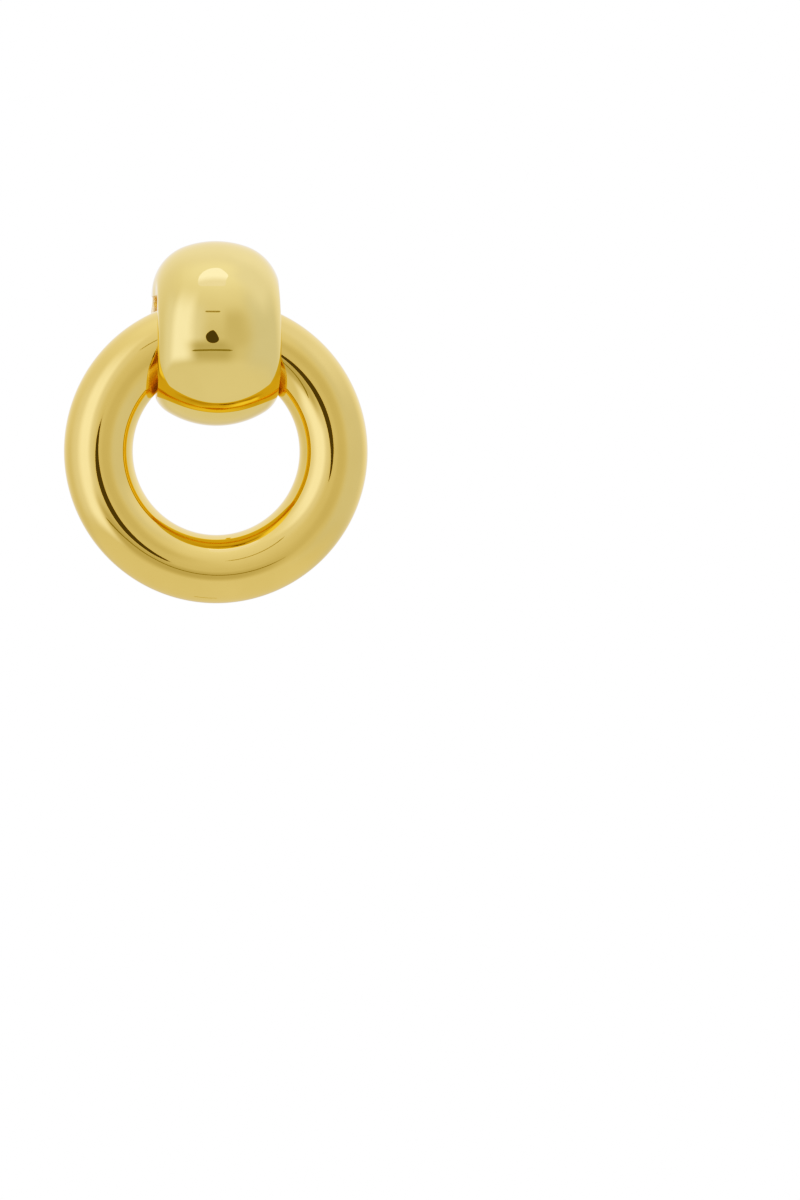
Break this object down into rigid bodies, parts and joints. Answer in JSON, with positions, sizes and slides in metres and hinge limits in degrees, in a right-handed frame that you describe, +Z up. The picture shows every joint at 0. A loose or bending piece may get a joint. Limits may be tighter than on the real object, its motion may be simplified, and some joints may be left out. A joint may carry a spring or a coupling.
{
  "type": "doorknocker earring",
  "caption": "Drop earring with a plain post, a puffed bead bail and a thick round ring that hangs through the bail and swings.",
  "frame": {"origin": "root of the ear post, on the bail's flat back, which lies against the front of the ear lobe", "axes": "+Y along the ear post, out of the back of the earring, so the front faces -Y; +Z up, with the ring hanging below; +X across the bail"},
  "size_m": [0.0305, 0.0257, 0.0362],
  "materials": {
    "bail_gold": "mirror-polished gold plate",
    "ring_gold": "mirror-polished gold plate",
    "post_gold": "smooth drawn wire, gold plate"
  },
  "bodies": {
    "bail": {"bail": "bail_gold", "ear_post": "post_gold"},
    "ring": {"ring": "ring_gold"}
  },
  "joints": [
    {"name": "ring_swing", "type": "hinge", "parent": "bail", "child": "ring", "pos_m": [0, -0.006, -0.0042], "axis": [-1, 0, 0], "range_deg": [-20, 20]}
  ]
}
